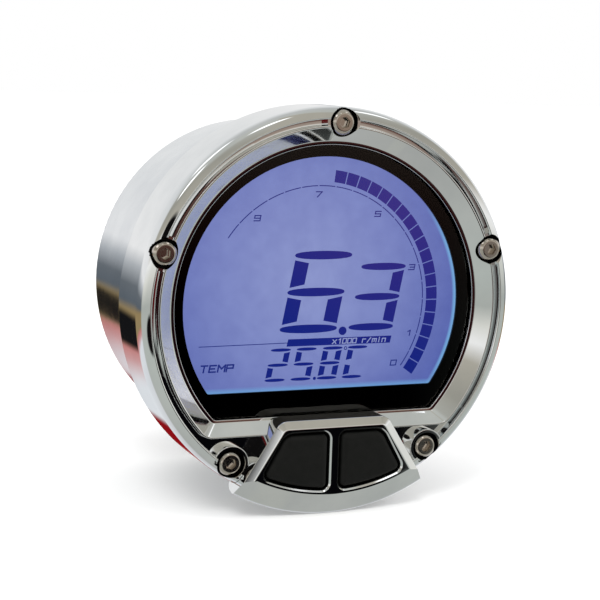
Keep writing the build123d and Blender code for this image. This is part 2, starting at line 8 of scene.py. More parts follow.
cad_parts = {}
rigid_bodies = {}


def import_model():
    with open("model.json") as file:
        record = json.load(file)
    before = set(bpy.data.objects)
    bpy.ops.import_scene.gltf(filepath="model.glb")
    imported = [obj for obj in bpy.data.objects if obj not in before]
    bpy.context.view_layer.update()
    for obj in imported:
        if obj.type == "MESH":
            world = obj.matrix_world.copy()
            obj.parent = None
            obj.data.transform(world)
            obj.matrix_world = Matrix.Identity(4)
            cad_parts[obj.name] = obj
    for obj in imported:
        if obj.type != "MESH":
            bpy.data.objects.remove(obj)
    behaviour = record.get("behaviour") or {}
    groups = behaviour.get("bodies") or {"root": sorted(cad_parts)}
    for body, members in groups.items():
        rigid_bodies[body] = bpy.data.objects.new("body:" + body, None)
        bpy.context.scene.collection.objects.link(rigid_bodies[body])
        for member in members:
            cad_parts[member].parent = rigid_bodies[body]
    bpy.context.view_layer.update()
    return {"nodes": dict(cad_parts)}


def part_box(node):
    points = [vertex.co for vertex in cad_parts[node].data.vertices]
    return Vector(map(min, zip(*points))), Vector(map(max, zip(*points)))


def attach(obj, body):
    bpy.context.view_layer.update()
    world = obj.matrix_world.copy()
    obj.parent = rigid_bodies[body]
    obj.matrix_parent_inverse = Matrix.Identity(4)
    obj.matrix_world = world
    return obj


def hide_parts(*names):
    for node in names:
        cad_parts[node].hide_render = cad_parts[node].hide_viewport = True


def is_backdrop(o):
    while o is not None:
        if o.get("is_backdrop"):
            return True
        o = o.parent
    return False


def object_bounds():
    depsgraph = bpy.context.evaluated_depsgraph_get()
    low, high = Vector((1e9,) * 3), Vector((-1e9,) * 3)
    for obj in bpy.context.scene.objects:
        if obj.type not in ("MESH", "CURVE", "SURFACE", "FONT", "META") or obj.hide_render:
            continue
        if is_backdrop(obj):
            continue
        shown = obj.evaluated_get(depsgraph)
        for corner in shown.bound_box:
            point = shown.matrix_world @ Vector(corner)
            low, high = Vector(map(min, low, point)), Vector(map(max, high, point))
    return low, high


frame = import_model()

# Round LCD tachometer and thermometer for a motorcycle, in its chrome can with two rubber buttons.
# The row frame is kept: +Z up, +X the rider's right, the dial faces -Y and the rear face is at y = 0.
# "Height" h is the distance in front of the rear face, in millimetres, so height h lies at y = -h.

MM = 0.001


def row(x, z, h):
    """Point of the row frame, in metres, from dial coordinates and a height in millimetres."""
    return Vector((x * MM, -h * MM, z * MM))


# ---------------- node material tools
def srgb(r, g, b):
    """Linear colour from 0-255 display values."""
    out = []
    for value in (r, g, b):
        c = value / 255.0
        out.append(c / 12.92 if c <= 0.04045 else ((c + 0.055) / 1.055) ** 2.4)
    return (*out, 1.0)


def fill_ramp(elements, stops):
    """Gives a colour ramp its (position, colour) stops, which are in rising order."""
    elements[0].position, elements[0].color = stops[0]
    elements[-1].position, elements[-1].color = stops[-1]
    for position, colour in stops[1:-1]:
        elements.new(position).color = colour


class Tree:
    """Short ways to add and link the nodes of one node tree."""

    def __init__(self, tree):
        self.tree = tree
        self.link = tree.links.new

    def add(self, kind, **values):
        """New node. Capitalised names are its inputs, the others its settings."""
        node = self.tree.nodes.new(kind)
        for key, value in values.items():
            if key[0].isupper():
                node.inputs[key.replace("_", " ")].default_value = value
            else:
                setattr(node, key, value)
        return node

    def feed(self, node, name, value):
        """Sets an input to a constant, or links it to another node's output."""
        if isinstance(value, (float, tuple)):
            node.inputs[name].default_value = value
        else:
            self.link(value, node.inputs[name])

    def mix(self, factor, a, b, blend="MIX"):
        """Mixes two colours."""
        node = self.add("ShaderNodeMix", data_type="RGBA", blend_type=blend)
        self.feed(node, "Factor", factor)
        self.feed(node, "A", a)
        self.feed(node, "B", b)
        return node.outputs["Result"]

    def product(self, a, b):
        """Product of two numbers."""
        node = self.add("ShaderNodeMath", operation="MULTIPLY")
        self.link(a, node.inputs[0])
        self.link(b, node.inputs[1])
        return node.outputs["Value"]

    def span(self, value, from_low, from_high, to_low=0.0, to_high=1.0, kind="LINEAR"):
        """Maps one range of a value to another."""
        limits = {"From_Min": from_low, "From_Max": from_high, "To_Min": to_low, "To_Max": to_high}
        node = self.add("ShaderNodeMapRange", interpolation_type=kind, **limits)
        self.link(value, node.inputs["Value"])
        return node.outputs["Result"]

    def ramp(self, value, *stops):
        """Colour ramp with (position, colour) stops."""
        node = self.add("ShaderNodeValToRGB")
        fill_ramp(node.color_ramp.elements, stops)
        self.link(value, node.inputs["Fac"])
        return node.outputs["Color"]


class Nodes(Tree):
    """A new material and what its surface needs."""

    def __init__(self, name):
        self.material = bpy.data.materials.new(name)
        self.material.use_nodes = True
        super().__init__(self.material.node_tree)
        self.shader = self.tree.nodes["Principled BSDF"]

    def set(self, **values):
        """Constants of the shader itself."""
        for key, value in values.items():
            self.shader.inputs[key.replace("_", " ")].default_value = value

    def place(self, stretch=(1, 1, 1)):
        """Object space in millimetres."""
        where = self.add("ShaderNodeTexCoord")
        mapping = self.add("ShaderNodeMapping", Scale=[s / MM for s in stretch])
        self.link(where.outputs["Object"], mapping.inputs["Vector"])
        return mapping.outputs["Vector"]

    def distance_from(self, point):
        """Distance from a point of the row frame, in metres."""
        where = self.add("ShaderNodeTexCoord")
        off = self.add("ShaderNodeVectorMath", operation="DISTANCE")
        off.inputs[1].default_value = point
        self.link(where.outputs["Object"], off.inputs[0])
        return off.outputs["Value"]

    def noise(self, scale, detail=3.0, roughness=0.55, stretch=(1, 1, 1)):
        """Noise in object space; scale is in features per millimetre."""
        noise = self.add("ShaderNodeTexNoise", Scale=scale, Detail=detail, Roughness=roughness)
        self.link(self.place(stretch), noise.inputs["Vector"])
        return noise.outputs["Fac"]

    def spread(self, noise, low, high):
        """Maps the middle of a noise, where nearly all of it lies, to a range."""
        return self.span(noise, 0.3, 0.7, low, high)

    def bump(self, value, strength, distance):
        """Surface relief; the distance is in millimetres."""
        node = self.add("ShaderNodeBump", Strength=strength, Distance=distance * MM)
        self.link(value, node.inputs["Height"])
        self.link(node.outputs["Normal"], self.shader.inputs["Normal"])


def metal(name, dark, light, rough, rough_spread, grain=0.3, bump=0.0, stretch=(1, 1, 1)):
    """Metal with faint colour variation and uneven polish."""
    m = Nodes(name)
    m.set(Metallic=1.0)
    tone = m.noise(grain, 4.0, stretch=stretch)
    m.link(m.ramp(tone, (0.3, dark), (0.7, light)), m.shader.inputs["Base Color"])
    smears = m.noise(grain * 2.3, 5.0, 0.6, stretch=stretch)
    m.link(m.spread(smears, rough, rough + rough_spread), m.shader.inputs["Roughness"])
    if bump:
        m.bump(m.noise(grain * 4, 2.0, stretch=stretch), bump, 0.02)
    return m.material


def plastic(name, dark, light, rough, rough_spread, grain=1.0, bump=0.15, depth=0.03, **more):
    """Moulded plastic or rubber: fine grain in its colour, roughness and surface."""
    m = Nodes(name)
    m.set(**more)
    tone = m.noise(grain * 0.4, 4.0)
    m.link(m.ramp(tone, (0.3, dark), (0.7, light)), m.shader.inputs["Base Color"])
    skin = m.noise(grain * 3, 5.0, 0.6)
    m.link(m.spread(skin, rough, rough + rough_spread), m.shader.inputs["Roughness"])
    m.bump(m.noise(grain * 5, 3.0), bump, depth)
    return m.material


CHROME = metal("chrome", srgb(232, 234, 236), srgb(246, 247, 248), 0.015, 0.03, 0.12, 0.03)
CHROME_CAN = metal("chrome_can", srgb(226, 229, 233), srgb(243, 245, 247), 0.07, 0.05, 0.12, 0.05)
# Dark metal for the walls and floors of the screw pockets: painted shade, standing in for the shade deep
# in those narrow pockets.
POCKET_PAINTED_SHADE = metal("pocket_painted_shade", srgb(30, 28, 27), srgb(48, 45, 43), 0.3, 0.15, 1.0, 0.05)
STEEL = metal("stainless", srgb(168, 160, 152), srgb(205, 200, 194), 0.16, 0.14, 1.5, 0.1)
TIN = metal("tin", srgb(176, 178, 180), srgb(208, 210, 212), 0.2, 0.15, 2.0, 0.1)
SCREW = metal("screw_steel", srgb(196, 186, 176), srgb(214, 207, 199), 0.10, 0.05, 0.5, 0.02)
BRASS = metal("brass_plated", srgb(178, 158, 104), srgb(214, 196, 140), 0.16, 0.12, 1.2, 0.1)
RUBBER = plastic(
    "rubber", srgb(8, 9, 8), srgb(14, 14, 13), 0.45, 0.2, 2.0, 0.3, 0.02, Specular_IOR_Level=0.25
)
PRINT = plastic("black_print", srgb(3, 3, 4), srgb(7, 7, 9), 0.3, 0.1, 1.5, 0.05)
BLACK = plastic("black_plastic", srgb(17, 18, 20), srgb(30, 31, 33), 0.42, 0.16, 1.6, 0.25)
WHITE = plastic("white_plastic", srgb(214, 214, 208), srgb(232, 232, 228), 0.4, 0.15, 1.0, 0.15)
CHIP = plastic("chip", srgb(22, 22, 24), srgb(38, 38, 40), 0.55, 0.15, 3.0, 0.25)


def board_material():
    """Green solder mask with copper traces faintly raised under it."""
    m = Nodes("circuit_board")
    cells = m.add("ShaderNodeTexVoronoi", distance="MANHATTAN", Scale=0.35)
    m.link(m.place(), cells.inputs["Vector"])
    traces = m.ramp(cells.outputs["Distance"], (0.30, srgb(18, 62, 40)), (0.42, srgb(34, 92, 58)))
    m.link(traces, m.shader.inputs["Base Color"])
    m.link(m.spread(m.noise(1.0), 0.25, 0.4), m.shader.inputs["Roughness"])
    m.bump(cells.outputs["Distance"], 0.2, 0.03)
    return m.material


def clear_material(name, tint, ior, rough):
    """Clear sheet with faint wiping marks."""
    m = Nodes(name)
    m.set(Base_Color=tint, IOR=ior, Transmission_Weight=1.0)
    m.link(m.spread(m.noise(0.2, 4.0), rough, rough + 0.01), m.shader.inputs["Roughness"])
    return m.material


BOARD = board_material()
LENS = clear_material("lens_clear", (1, 1, 1, 1), 1.49, 0.0)
GLASS = clear_material("display_glass", srgb(236, 242, 240), 1.5, 0.0)
ACRYLIC = clear_material("acrylic", srgb(244, 246, 250), 1.49, 0.05)
FILM = plastic("polariser", srgb(52, 56, 84), srgb(66, 70, 100), 0.2, 0.1, 0.6, 0.05)
SILVER_FILM = metal("silver_film", srgb(214, 216, 220), srgb(236, 238, 240), 0.12, 0.1, 0.5, 0.05)
MILKY = plastic("milky_film", srgb(228, 230, 236), srgb(242, 243, 247), 0.45, 0.1, 0.5, 0.05)

# The CAD nodes that each material is for.
NODE_MATERIALS = (
    (CHROME, "bezel button_surround"),
    (CHROME_CAN, "rear_housing"),
    (STEEL, "bezel_screws board_screws power_board_screws rear_cover_screws"),
    (TIN, "crystal capacitors"),
    (BRASS, "board_spacers mounting_studs"),
    (SILVER_FILM, "reflector_film"),
    (RUBBER, "bezel_oring lens_gasket zebra_strip rear_cover_seal cable_grommet left_button right_button"),
    (PRINT, "dial_mask"),
    (BLACK, "tact_switch_bodies board_link_header rear_cover"),
    (WHITE, "backlight_leds lcd_holder left_plunger right_plunger wire_header"),
    (CHIP, "microcontroller voltage_regulator"),
    (BOARD, "display_board power_board"),
    (MILKY, "diffuser_film"),
    (FILM, "lcd_front_polariser lcd_rear_polariser"),
    (LENS, "lens"),
    (GLASS, "lcd_front_glass lcd_rear_glass"),
    (ACRYLIC, "light_guide"),
)
for node_material, node_names in NODE_MATERIALS:
    for node_name in node_names.split():
        mesh = frame["nodes"][node_name].data
        mesh.materials.clear()
        mesh.materials.append(node_material)


# ---------------- mesh tools
def raw_mesh(name, verts, faces):
    """Mesh of points in metres and faces as lists of their numbers."""
    data = bpy.data.meshes.new(name)
    data.from_pydata([tuple(v) for v in verts], [], faces)
    data.update()
    return data


def piece(name, data, material, body="root", crease=None):
    """Object from a mesh, riding on a body. Edges sharper than crease degrees stay sharp."""
    data.materials.clear()
    data.materials.append(material)
    if crease is not None:
        data.polygons.foreach_set("use_smooth", [True] * len(data.polygons))
        data.set_sharp_from_angle(angle=math.radians(crease))
    obj = bpy.data.objects.new(name, data)
    bpy.context.scene.collection.objects.link(obj)
    if crease is not None:
        even = obj.modifiers.new("even_normals", "WEIGHTED_NORMAL")
        even.keep_sharp = True
    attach(obj, body)
    return obj


def around(count, shift=0.0):
    """Evenly spaced angles of a full turn."""
    return [2 * math.pi * (i + shift) / count for i in range(count)]


def skin(name, loops, closed=False):
    """Mesh through loops of equally many points; capped at both ends, or joined last to first."""
    count = len(loops[0])
    verts = [point for loop in loops for point in loop]
    faces = []
    spans = len(loops) if closed else len(loops) - 1
    for k in range(spans):
        a = k * count
        b = ((k + 1) % len(loops)) * count
        for i in range(count):
            j = (i + 1) % count
            faces.append((a + i, a + j, b + j, b + i))
    if not closed:
        faces.append(tuple(range(count - 1, -1, -1)))
        faces.append(tuple(range(len(verts) - count, len(verts))))
    return outward(raw_mesh(name, verts, faces))


def outward(data):
    """Merges repeated points and turns every face outwards."""
    work = bmesh.new()
    work.from_mesh(data)
    bmesh.ops.remove_doubles(work, verts=work.verts, dist=1e-7)
    bmesh.ops.recalc_face_normals(work, faces=work.faces)
    work.to_mesh(data)
    work.free()
    data.update()
    return data


def joined(name, parts):
    """One mesh that holds several closed ones, which it uses up."""
    verts, faces = [], []
    for part in parts:
        base = len(verts)
        verts += [v.co.copy() for v in part.vertices]
        faces += [[base + k for k in polygon.vertices] for polygon in part.polygons]
        bpy.data.meshes.remove(part)
    return raw_mesh(name, verts, faces)


def carve(data, *steps):
    """Applies exact booleans in order. Each step is ("UNION" or "DIFFERENCE", mesh)."""
    scene_objects = bpy.context.scene.collection.objects
    base = bpy.data.objects.new("carving", data)
    scene_objects.link(base)
    tools = []
    for operation, tool_mesh in steps:
        tool = bpy.data.objects.new("tool", tool_mesh)
        scene_objects.link(tool)
        tools.append(tool)
        modifier = base.modifiers.new("cut", "BOOLEAN")
        modifier.operation = operation
        modifier.solver = "EXACT"
        modifier.object = tool
    depsgraph = bpy.context.evaluated_depsgraph_get()
    carved = bpy.data.meshes.new_from_object(base.evaluated_get(depsgraph))
    for obj in [base, *tools]:
        bpy.data.objects.remove(obj)
    return carved


def softened(path, reach, steps=4):
    """Rounds the corners of a path of number tuples; reach gives how far each corner is cut back."""
    out = []
    last = len(path) - 1
    for i, point in enumerate(path):
        cut = reach[i]
        if cut == 0 or i in (0, last):
            out.append(point)
            continue
        before, after = path[i - 1], path[i + 1]
        to_before = math.dist(point, before)
        to_after = math.dist(point, after)
        for k in range(steps + 1):
            t = k / steps
            a = (1 - t) ** 2 * min(cut / to_before, 0.49)
            b = t ** 2 * min(cut / to_after, 0.49)
            out.append(tuple(p + (q - p) * a + (r - p) * b for p, q, r in zip(point, before, after)))
    return out


def lathe(name, profile, axis_x=0.0, axis_z=0.0, count=64, closed=False):
    """Turned mesh from (radius, height) points round an axis that is parallel to Y."""
    turn = around(count, 0.5)
    loops = []
    for r, h in profile:
        loops.append([row(axis_x + r * math.cos(a), axis_z + r * math.sin(a), h) for a in turn])
    return skin(name, loops, closed)


# ---------------- bezel
CASTING_CREASE = 24  # degrees, from which an edge of a chrome casting looks sharp
POCKET_FACETS = 96
HOLE_FACETS = 32
SCREW_PITCH_R = 28.6
UPPER_ANGLES = (18, 88.5, 162)
LOWER_ANGLES = (235.6, 306.6)
SCREW_ANGLES = UPPER_ANGLES + LOWER_ANGLES
CORNER_LOW, CORNER_HIGH = 36.0, 52.0  # degrees below the middle, where the D outlines turn

# Heights of the casting, from its rear edge to its crest.
REAR_H = 27.3
LEDGE_H = 35.2  # where it rests on the can's rim
LENS_SEAT_H = 36.5
LIP_H = 36.9
GROOVE_H = 37.2
BAND_H = 38.9
CREST_H = 39.0

BORE_R = 30.0
CASTING_R = 31.0
GROOVE_OUT_R = 29.05

# D outlines, as radius, distance down to the straight edge, and corner radius.
GROOVE_D = (28.5, 19.75, 2.9)
BAND_FOOT_D = (28.2, 19.5, 2.7)
BAND_EDGE_D = (28.15, 19.47, 2.67)
FUNNEL_TOP_D = (27.85, 19.25, 2.45)
FUNNEL_FOOT_D = (25.7, 17.55, 1.0)
WINDOW_D = (25.1, 17.1, 0.8)
LENS_POCKET_D = (26.4, 18.4, 1.0)

# Filled patches of the groove beside the upper screws.
PAD_IN_R = 27.95
PAD_OUT_R = 29.35
PAD_SPREAD = 5.4  # degrees to each side
PAD_H = 38.47
PAD_STEPS = 12

# Rings round the lower screws.
BOSS_R = 2.85
BOSS_LIMIT_R = 30.2  # they stop before the crest's outer side
BOSS_H = 38.85

POCKET_R = 2.25
POCKET_FLOOR = 37.0
POCKET_DARK_TOP = 38.6
OVER_ALL_H = 39.7  # above everything that the pockets cut
UPPER_POCKET = ((POCKET_R, POCKET_FLOOR), (POCKET_R, 38.5), (2.5, CREST_H), (2.6, OVER_ALL_H))
LOWER_POCKET = ((POCKET_R, POCKET_FLOOR), (POCKET_R, 38.64), (2.34, BAND_H), (2.36, OVER_ALL_H))
SHANK_HOLE = ((1.1, 35.0), (1.1, 37.4))

# Recess that the button surround stands in.
RECESS_GAP = 0.05
RECESS_CHIN_R = 33.0
RECESS_HEIGHTS = (37.19, 40.0)


def dial_angles():
    """Directions round the dial, closer together near the two corners of the D outlines."""
    out = []
    spans = (
        (-CORNER_LOW, 180 + CORNER_LOW, 300),
        (180 + CORNER_LOW, 180 + CORNER_HIGH, 40),
        (180 + CORNER_HIGH, 360 - CORNER_HIGH, 50),
        (360 - CORNER_HIGH, 360 - CORNER_LOW, 40),
    )
    for start, end, steps in spans:
        out += [math.radians(start + (end - start) * i / steps) for i in range(steps)]
    return out


DIAL_ANGLES = dial_angles()


def d_reach(radius, chord, corner, angle):
    """Distance from the centre to a D outline (straight lower edge at z = -chord) in one direction."""
    centre_z = -chord + corner
    centre_x = math.sqrt((radius - corner) ** 2 - centre_z ** 2)
    c, s = abs(math.cos(angle)), math.sin(angle)
    if math.atan2(s, c) >= math.atan2(centre_z, centre_x):
        return radius
    if math.atan2(s, c) <= math.atan2(-chord, centre_x):
        return -chord / s
    along = centre_x * c + centre_z * s
    aside = centre_x ** 2 + centre_z ** 2 - along ** 2
    return along + math.sqrt(corner ** 2 - aside)


def d_loop(radius, chord, corner, h):
    """D outline at one height, with a point in each of the dial's directions."""
    points = []
    for a in DIAL_ANGLES:
        reach = d_reach(radius, chord, corner, a)
        points.append(row(reach * math.cos(a), reach * math.sin(a), h))
    return points


def circle_loop(radius, h):
    """Circle whose points lie in the same directions as those of a D outline."""
    return [row(radius * math.cos(a), radius * math.sin(a), h) for a in DIAL_ANGLES]


def bezel_body():
    """Skirt, crest and groove as circles; band, funnel, step and lip as D outlines."""
    outside = [
        (BORE_R, LEDGE_H),
        (BORE_R, REAR_H),
        (CASTING_R, REAR_H),
        (CASTING_R, 37.25),
        (30.6, 38.45),
        (29.3, CREST_H),
        (29.1, 38.85),
        (GROOVE_OUT_R, GROOVE_H),
        (28.7, GROOVE_H),
    ]
    outside = softened(outside, (0, 0, 0.25, 0.7, 0.6, 0.12, 0.08, 0.05, 0), 6)
    inside = [
        (*GROOVE_D, GROOVE_H),
        (*BAND_FOOT_D, GROOVE_H),
        (*BAND_EDGE_D, BAND_H),
        (*FUNNEL_TOP_D, BAND_H),
        (*FUNNEL_FOOT_D, LIP_H),
        (*WINDOW_D, LIP_H),
        (*WINDOW_D, LENS_SEAT_H),
        (*LENS_POCKET_D, LENS_SEAT_H),
        (*LENS_POCKET_D, LEDGE_H),
    ]
    inside = softened(inside, (0, 0.05, 0.14, 0.14, 0.12, 0.12, 0, 0, 0), 5)
    loops = [circle_loop(r, h) for r, h in outside]
    loops += [d_loop(*values) for values in inside]
    return skin("bezel_body", loops, closed=True)


def band_outline(inner, outer, start, end, steps, x=0.0, z=0.0):
    """Points round the band between two radii, from start to end degrees."""
    points = []
    for r, order in ((outer, 1), (inner, -1)):
        for i in range(steps + 1)[::order]:
            a = math.radians(start + (end - start) * i / steps)
            points.append((x + r * math.cos(a), z + r * math.sin(a)))
    return points


def on_pitch(angle):
    """Centre of the screw in one direction."""
    a = math.radians(angle)
    return SCREW_PITCH_R * math.cos(a), SCREW_PITCH_R * math.sin(a)


# Outlines of the surround and its openings: the point reached in each direction of an outward normal.
OUTLINE_COUNT = 240
OPENING_LEAN = math.atan2(5.5, 9.8)  # lean of a button's outer side from upright
OPENING_HEAD = 19.0  # from the axis down to the straight upper edge
OPENING_HEAD_HALF = 8.2  # from the middle to the outer end of that edge
OPENING_FOOT_R = 28.2
OPENING_CORNER_R = 1.1
OPENING_SHOULDER_R = 2.3
BAR_HALF = 0.9  # half of the bar between the two buttons


def corner_of(normal_a, offset_a, normal_b, offset_b):
    """Where two straight sides meet, each given by the direction of its normal and its distance."""
    ax, az = math.cos(normal_a), math.sin(normal_a)
    bx, bz = math.cos(normal_b), math.sin(normal_b)
    det = ax * bz - az * bx
    return (offset_a * bz - offset_b * az) / det, (ax * offset_b - bx * offset_a) / det


def foot_of(normal, offset, radius):
    """Lower point where a straight side meets a circle round the origin."""
    nx, nz = math.cos(normal), math.sin(normal)
    half = math.sqrt(radius ** 2 - offset ** 2)
    turn = 1 if nx > 0 else -1
    return offset * nx + turn * nz * half, offset * nz - turn * nx * half


def opening_loop(side, inset, h, head=OPENING_HEAD):
    """Outline of a button opening, moved inwards by inset, at one height."""
    keep = max(OPENING_CORNER_R, inset)
    round_r = keep - inset
    keep_shoulder = max(OPENING_SHOULDER_R, inset)
    shoulder_r = keep_shoulder - inset
    lean = OPENING_LEAN
    side_line = OPENING_HEAD_HALF * math.cos(lean) - OPENING_HEAD * math.sin(lean)
    inner = -BAR_HALF - keep
    radius = OPENING_FOOT_R - keep
    head_outer = corner_of(lean, side_line - keep_shoulder, math.pi / 2, -head - keep_shoulder)
    head_inner = (-inner, -head - keep)
    foot_outer = foot_of(lean, side_line - keep, radius)
    foot_inner = foot_of(math.pi, inner, radius)
    foot_start = math.atan2(foot_outer[1], foot_outer[0])
    foot_end = math.atan2(foot_inner[1], foot_inner[0])
    points = []
    for i in range(OUTLINE_COUNT):
        a = -math.pi + 2 * math.pi * (i + 0.5) / OUTLINE_COUNT
        bend = round_r
        if a < foot_end:
            x, z = foot_inner
        elif a < foot_start:
            x, z = radius * math.cos(a), radius * math.sin(a)
        elif a < lean:
            x, z = foot_outer
        elif a < math.pi / 2:
            x, z = head_outer
            bend = shoulder_r
        else:
            x, z = head_inner
        points.append(row(side * (x + bend * math.cos(a)), z + bend * math.sin(a), h))
    return points


SURROUND_LEAN = math.atan2(10.0, 15.9)  # lean of the surround's sides
SURROUND_HEAD = 17.0
SURROUND_HEAD_HALF = 9.0
SURROUND_CORNER_R = 2.2


def surround_loop(inset, h, chin):
    """Outline of the surround, moved inwards by inset, with its chin at a radius."""
    keep = max(SURROUND_CORNER_R, inset)
    round_r = keep - inset
    side = SURROUND_HEAD_HALF * math.cos(SURROUND_LEAN) - SURROUND_HEAD * math.sin(SURROUND_LEAN) - keep
    head = corner_of(SURROUND_LEAN, side, math.pi / 2, -SURROUND_HEAD - keep)
    side_low = side + keep - inset
    foot = foot_of(SURROUND_LEAN, side_low, chin)
    foot_angle = math.atan2(foot[1], foot[0])
    points = []
    for i in range(OUTLINE_COUNT):
        a = -math.pi / 2 + 2 * math.pi * (i + 0.5) / OUTLINE_COUNT
        mirrored = a > math.pi / 2
        b = math.pi - a if mirrored else a
        if b < foot_angle:
            x, z = chin * math.cos(b), chin * math.sin(b)
        elif b < SURROUND_LEAN:
            x, z = foot
        else:
            x, z = head[0] + round_r * math.cos(b), head[1] + round_r * math.sin(b)
        points.append(row(-x if mirrored else x, z, h))
    return points


def boss_loop(cx, cz, inset, h):
    """Circle round a lower screw, cut off where it would pass the crest."""
    points = []
    for a in around(POCKET_FACETS):
        along = cx * math.cos(a) + cz * math.sin(a)
        to_crest = math.sqrt(along ** 2 - cx ** 2 - cz ** 2 + BOSS_LIMIT_R ** 2) - along
        r = min(BOSS_R, to_crest) - inset
        points.append(row(cx + r * math.cos(a), cz + r * math.sin(a), h))
    return points


ROOM_GROW = 0.95  # how far the room for a button's flange passes its opening
ROOM_HEAD = 19.85
ROOM_HEIGHTS = (35.0, 37.6)


def raised_parts():
    """Filled patches beside the upper screws and rings round the lower ones."""
    boss_path = softened([(0, LIP_H), (0, BOSS_H), (0.3, BOSS_H)], (0, 0.14, 0), 5)
    parts = []
    for angle in UPPER_ANGLES:
        outline = band_outline(PAD_IN_R, PAD_OUT_R, angle - PAD_SPREAD, angle + PAD_SPREAD, PAD_STEPS)
        parts.append(skin("pad", [[row(x, z, h) for x, z in outline] for h in (LIP_H, PAD_H)]))
    for angle in LOWER_ANGLES:
        loops = [boss_loop(*on_pitch(angle), inset, h) for inset, h in boss_path]
        parts.append(skin("boss", loops))
    return parts


def bezel_cutters():
    """Recess of the surround, screw pockets with their shank holes, and room for the buttons."""
    upper = softened(UPPER_POCKET, (0, 0.2, 0.1, 0), 4)
    lower = softened(LOWER_POCKET, (0, 0.1, 0.05, 0), 4)
    recess = [surround_loop(-RECESS_GAP, h, RECESS_CHIN_R) for h in RECESS_HEIGHTS]
    cutters = [skin("recess", recess)]
    for angle in SCREW_ANGLES:
        pocket = upper if angle in UPPER_ANGLES else lower
        cutters.append(lathe("pocket", pocket, *on_pitch(angle), POCKET_FACETS))
        cutters.append(lathe("shank_hole", SHANK_HOLE, *on_pitch(angle), HOLE_FACETS))
    for side in (-1, 1):
        room = [opening_loop(side, -ROOM_GROW, h, ROOM_HEAD) for h in ROOM_HEIGHTS]
        cutters.append(skin("opening", room))
    return cutters


def build_bezel():
    """Front casting. The walls and floors of its screw pockets get a dark metal, which is painted shade
    for those deep pockets.
    """
    steps = [("UNION", part) for part in raised_parts()]
    steps += [("DIFFERENCE", cutter) for cutter in bezel_cutters()]
    obj = piece("bezel_look", carve(bezel_body(), *steps), CHROME, crease=CASTING_CREASE)
    # Faces inside the pockets, up to POCKET_DARK_TOP, take the painted shade.
    obj.data.materials.append(POCKET_PAINTED_SHADE)
    centres = [on_pitch(angle) for angle in SCREW_ANGLES]
    slack = 0.01
    for polygon in obj.data.polygons:
        x, h, z = polygon.center.x / MM, -polygon.center.y / MM, polygon.center.z / MM
        near = min(math.hypot(x - cx, z - cz) for cx, cz in centres)
        if near < POCKET_R + 2 * slack and POCKET_FLOOR - slack < h < POCKET_DARK_TOP:
            polygon.material_index = 1
    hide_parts("bezel")


build_bezel()


LENS_D = (26.2, 18.2, 1.0)
LENS_FACE_D = (26.05, 18.05, 0.85)  # inside its ground edge
LENS_BACK = 34.6
LENS_FRONT = 36.1
LENS_EDGE = 0.15


def build_lens():
    """Clear cover with ground edges."""
    loops = [
        d_loop(*LENS_FACE_D, LENS_BACK),
        d_loop(*LENS_D, LENS_BACK + LENS_EDGE),
        d_loop(*LENS_D, LENS_FRONT - LENS_EDGE),
        d_loop(*LENS_FACE_D, LENS_FRONT),
    ]
    obj = piece("lens_look", skin("lens_look", loops), LENS)
    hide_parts("lens")


build_lens()


# ---------------- button surround and buttons
# Up the surround's side: inset, height and radius of the chin.
SURROUND_PATH = (
    (0.0, 36.0, 31.35),
    (0.0, 37.2, 32.1),
    (0.0, 39.1, 32.4),
    (0.0, 39.5, 32.2),
    (0.0, 40.7, 29.94),
    (1.2, 41.2, 29.0),
    (2.0, 41.2, 28.2),
)
SURROUND_ROUNDING = (0, 0.5, 0.2, 0.2, 0.12, 0.2, 0)
# Up the side of an opening: inset and height.
RIM_PATH = ((0.0, 36.5), (0.0, 40.85), (-0.4, 41.17), (-0.5, 42.0))
RIM_ROUNDING = (0, 0.25, 0.06, 0)
BEZEL_SIDE = ((31.05, 35.0), (31.05, 37.2))
CASTING_FACETS = 256


def build_surround():
    """Trim with bevelled edges, a chin over the bezel's side, and two rimmed openings."""
    path = softened(SURROUND_PATH, SURROUND_ROUNDING, 4)
    body = skin("surround_body", [surround_loop(*values) for values in path])
    steps = [("DIFFERENCE", lathe("bezel_side", BEZEL_SIDE, count=CASTING_FACETS))]
    rim = softened(RIM_PATH, RIM_ROUNDING, 6)
    for side in (-1, 1):
        steps.append(("DIFFERENCE", skin("opening", [opening_loop(side, inset, h) for inset, h in rim])))
    obj = piece("button_surround_look", carve(body, *steps), CHROME, crease=CASTING_CREASE)
    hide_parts("button_surround")


build_surround()

BUTTON_TOP = 41.4
BUTTON_CROWN = 0.06
BUTTON_GAP = 0.3  # to the side of its opening
BUTTON_EDGE_IN = 0.95  # rounding of the upper edge, across and down
BUTTON_EDGE_DOWN = 0.75
BUTTON_EDGE_STEPS = 8
FLANGE_GROW = 0.45
FLANGE_HEAD = 19.75
FLANGE_BACK = 36.15
FLANGE_FRONT = 37.15
STEM_R = 1.6
STEM_X = 5.0
STEM_Z = -21.9
STEM_BACK = 34.0
STEM_FRONT = 36.6


def build_button(name, side):
    """Rubber button: flange behind the bezel, straight sides and a softly rounded, slightly domed top."""
    loops = [opening_loop(side, -FLANGE_GROW, h, FLANGE_HEAD) for h in (FLANGE_BACK, FLANGE_FRONT)]
    loops.append(opening_loop(side, BUTTON_GAP, FLANGE_FRONT))
    for i in range(BUTTON_EDGE_STEPS + 1):
        a = math.pi / 2 * i / BUTTON_EDGE_STEPS
        inset = BUTTON_GAP + BUTTON_EDGE_IN * (1 - math.cos(a))
        h = BUTTON_TOP - BUTTON_CROWN - BUTTON_EDGE_DOWN * (1 - math.sin(a))
        loops.append(opening_loop(side, inset, h))
    for inset, h in ((2.0, BUTTON_TOP - 0.02), (2.9, BUTTON_TOP)):
        loops.append(opening_loop(side, inset, h))
    stem = lathe("stem", [(STEM_R, STEM_BACK), (STEM_R, STEM_FRONT)], side * STEM_X, STEM_Z, 48)
    data = carve(skin("button_body", loops), ("UNION", stem))
    obj = piece(name + "_look", data, RUBBER, body=name, crease=40)
    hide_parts(name)


build_button("left_button", -1)
build_button("right_button", 1)


